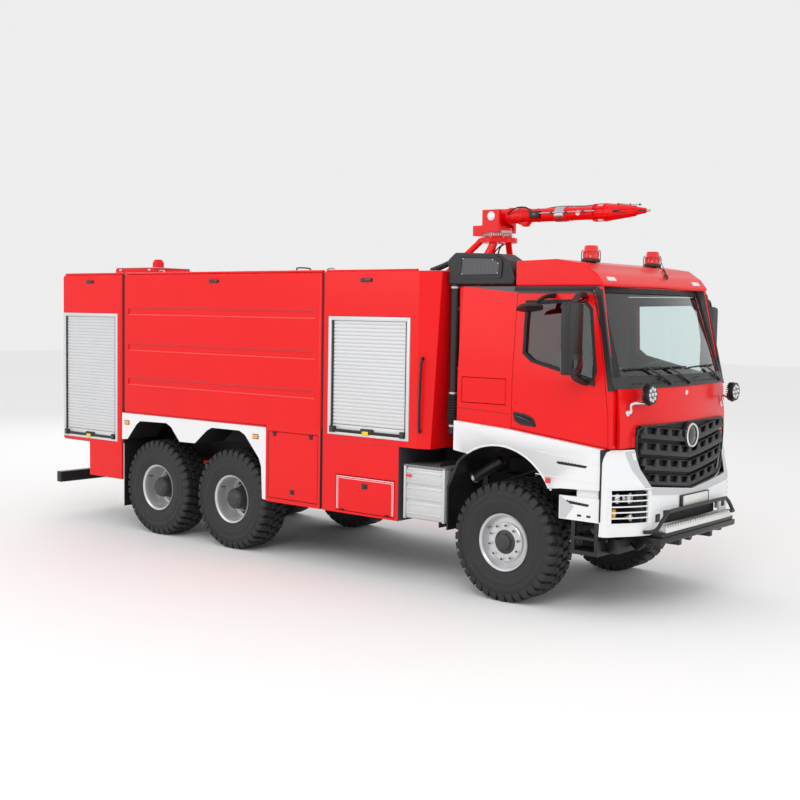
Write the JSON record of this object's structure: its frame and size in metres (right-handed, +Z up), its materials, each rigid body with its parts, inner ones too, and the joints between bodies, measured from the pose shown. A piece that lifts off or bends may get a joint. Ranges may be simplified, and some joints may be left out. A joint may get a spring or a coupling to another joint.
{
  "type": "airport fire truck",
  "caption": "Three-axle airport fire truck with cab doors, locker flaps, steered front wheels and a roof water cannon that turns and tips.",
  "frame": {"origin": "on the ground, midway between the front step bar and the rear underrun bar, on the centre plane", "axes": "+X forward, +Y to the truck's left, +Z up"},
  "size_m": [8.88, 3.06, 3.965],
  "materials": {
    "red_paint": "gloss signal red",
    "white_paint": "gloss white",
    "black_plastic": "grained black moulding",
    "frame_paint": "satin dark grey chassis paint",
    "tyre": "off-road tread rubber",
    "rim_silver": "silver wheel paint",
    "aluminium": "mill finish",
    "glass": "green tinted safety glass",
    "seat_fabric": "dark woven seat cloth",
    "shutter_silver": "satin anodised slats",
    "lamp_glass": "clear lamp lens",
    "lamp_red": "red lens",
    "lamp_amber": "amber lens",
    "chrome": "bright trim"
  },
  "bodies": {
    "truck": {"air_intake": "black_plastic", "bogie_skirt_left": "white_paint", "bogie_skirt_right": "white_paint", "bogie_springs": "frame_paint", "cab_back_wall": "red_paint", "cab_floor": "black_plastic", "cab_front": "red_paint", "cab_roof": "red_paint", "cab_side_left": "red_paint", "cab_side_right": "red_paint", "chassis_frame": "frame_paint", "dashboard": "black_plastic", "engine_block": "frame_paint", "front_axle": "frame_paint", "front_bumper": "white_paint", "front_locker": "red_paint", "front_step": "black_plastic", "fuel_tank": "aluminium", "grille": "black_plastic", "monitor_frame": "red_paint", "rear_axle_first": "frame_paint", "rear_axle_second": "frame_paint", "rear_locker": "red_paint", "roof_box": "red_paint", "seat_left": "seat_fabric", "seat_right": "seat_fabric", "side_tank": "aluminium", "tank_body": "red_paint", "underrun_bar": "black_plastic", "windscreen": "glass", "wing_left": "white_paint", "wing_right": "white_paint"},
    "knuckle_right": {"knuckle_right": "frame_paint"},
    "knuckle_left": {"knuckle_left": "frame_paint"},
    "wheel_front_right": {"tyre_front_right": "tyre", "rim_front_right": "rim_silver"},
    "wheel_front_left": {"tyre_front_left": "tyre", "rim_front_left": "rim_silver"},
    "wheel_middle_right": {"tyre_middle_right": "tyre", "rim_middle_right": "rim_silver"},
    "wheel_middle_left": {"tyre_middle_left": "tyre", "rim_middle_left": "rim_silver"},
    "wheel_rear_right": {"tyre_rear_right": "tyre", "rim_rear_right": "rim_silver"},
    "wheel_rear_left": {"tyre_rear_left": "tyre", "rim_rear_left": "rim_silver"},
    "door_right": {"cab_door_right": "red_paint", "door_glass_right": "glass"},
    "stowage_flap_right": {"stowage_flap_right": "red_paint"},
    "lower_flap_right": {"lower_flap_right": "red_paint"},
    "drop_flap_right": {"drop_flap_right": "red_paint"},
    "door_left": {"cab_door_left": "red_paint", "door_glass_left": "glass"},
    "stowage_flap_left": {"stowage_flap_left": "red_paint"},
    "lower_flap_left": {"lower_flap_left": "red_paint"},
    "drop_flap_left": {"drop_flap_left": "red_paint"},
    "tank_hatch": {"tank_hatch": "aluminium"},
    "steering_wheel": {"steering_wheel": "black_plastic"},
    "monitor_turret": {"monitor_turret": "red_paint"},
    "monitor_barrel": {"monitor_barrel": "red_paint"}
  },
  "joints": [
    {"name": "steer_right", "type": "hinge", "parent": "truck", "child": "knuckle_right", "pos_m": [2.94, -0.88, 0.589], "axis": [0, 0, 1], "range_deg": [-30, 30]},
    {"name": "steer_left", "type": "hinge", "parent": "truck", "child": "knuckle_left", "pos_m": [2.94, 0.88, 0.589], "axis": [0, 0, 1], "range_deg": [-30, 30]},
    {"name": "spin_front_right", "type": "hinge", "parent": "knuckle_right", "child": "wheel_front_right", "pos_m": [2.94, -1.025, 0.589], "axis": [0, 1, 0], "continuous": true},
    {"name": "spin_front_left", "type": "hinge", "parent": "knuckle_left", "child": "wheel_front_left", "pos_m": [2.94, 1.025, 0.589], "axis": [0, 1, 0], "continuous": true},
    {"name": "spin_middle_right", "type": "hinge", "parent": "truck", "child": "wheel_middle_right", "pos_m": [-0.96, -1.025, 0.589], "axis": [0, 1, 0], "continuous": true},
    {"name": "spin_middle_left", "type": "hinge", "parent": "truck", "child": "wheel_middle_left", "pos_m": [-0.96, 1.025, 0.589], "axis": [0, 1, 0], "continuous": true},
    {"name": "spin_rear_right", "type": "hinge", "parent": "truck", "child": "wheel_rear_right", "pos_m": [-2.31, -1.025, 0.589], "axis": [0, 1, 0], "continuous": true},
    {"name": "spin_rear_left", "type": "hinge", "parent": "truck", "child": "wheel_rear_left", "pos_m": [-2.31, 1.025, 0.589], "axis": [0, 1, 0], "continuous": true},
    {"name": "open_door_right", "type": "hinge", "parent": "truck", "child": "door_right", "pos_m": [4.049, -1.154, 1.8], "axis": [0, 0, 1], "range_deg": [0, 70]},
    {"name": "lift_stowage_flap_right", "type": "hinge", "parent": "truck", "child": "stowage_flap_right", "pos_m": [2.63, -1.154, 2.184], "axis": [-1, 0, 0], "range_deg": [0, 90]},
    {"name": "lift_lower_flap_right", "type": "hinge", "parent": "truck", "child": "lower_flap_right", "pos_m": [0.095, -1.254, 1.449], "axis": [-1, 0, 0], "range_deg": [0, 90]},
    {"name": "lower_drop_flap_right", "type": "hinge", "parent": "truck", "child": "drop_flap_right", "pos_m": [1.174, -1.254, 0.676], "axis": [1, 0, 0], "range_deg": [0, 90]},
    {"name": "open_door_left", "type": "hinge", "parent": "truck", "child": "door_left", "pos_m": [4.049, 1.154, 1.8], "axis": [0, 0, -1], "range_deg": [0, 70]},
    {"name": "lift_stowage_flap_left", "type": "hinge", "parent": "truck", "child": "stowage_flap_left", "pos_m": [2.63, 1.154, 2.184], "axis": [1, 0, 0], "range_deg": [0, 90]},
    {"name": "lift_lower_flap_left", "type": "hinge", "parent": "truck", "child": "lower_flap_left", "pos_m": [0.095, 1.254, 1.449], "axis": [1, 0, 0], "range_deg": [0, 90]},
    {"name": "lower_drop_flap_left", "type": "hinge", "parent": "truck", "child": "drop_flap_left", "pos_m": [1.174, 1.254, 0.676], "axis": [-1, 0, 0], "range_deg": [0, 90]},
    {"name": "open_tank_hatch", "type": "hinge", "parent": "truck", "child": "tank_hatch", "pos_m": [-1.23, 0, 3.274], "axis": [0, -1, 0], "range_deg": [0, 105]},
    {"name": "turn_steering_wheel", "type": "hinge", "parent": "truck", "child": "steering_wheel", "pos_m": [3.44, 0.62, 2.245], "axis": [-0.4695, 0, 0.8829], "range_deg": [-540, 540]},
    {"name": "turn_monitor", "type": "hinge", "parent": "truck", "child": "monitor_turret", "pos_m": [1.96, 0, 3.648], "axis": [0, 0, 1], "range_deg": [-135, 135]},
    {"name": "tip_monitor", "type": "hinge", "parent": "monitor_turret", "child": "monitor_barrel", "pos_m": [1.98, 0, 3.87], "axis": [0, -1, 0], "range_deg": [-8, 70]}
  ],
  "couplings": [
    {"joint": "steer_left", "follows": "steer_right", "ratio": 1},
    {"joint": "turn_steering_wheel", "follows": "steer_right", "ratio": 18}
  ]
}
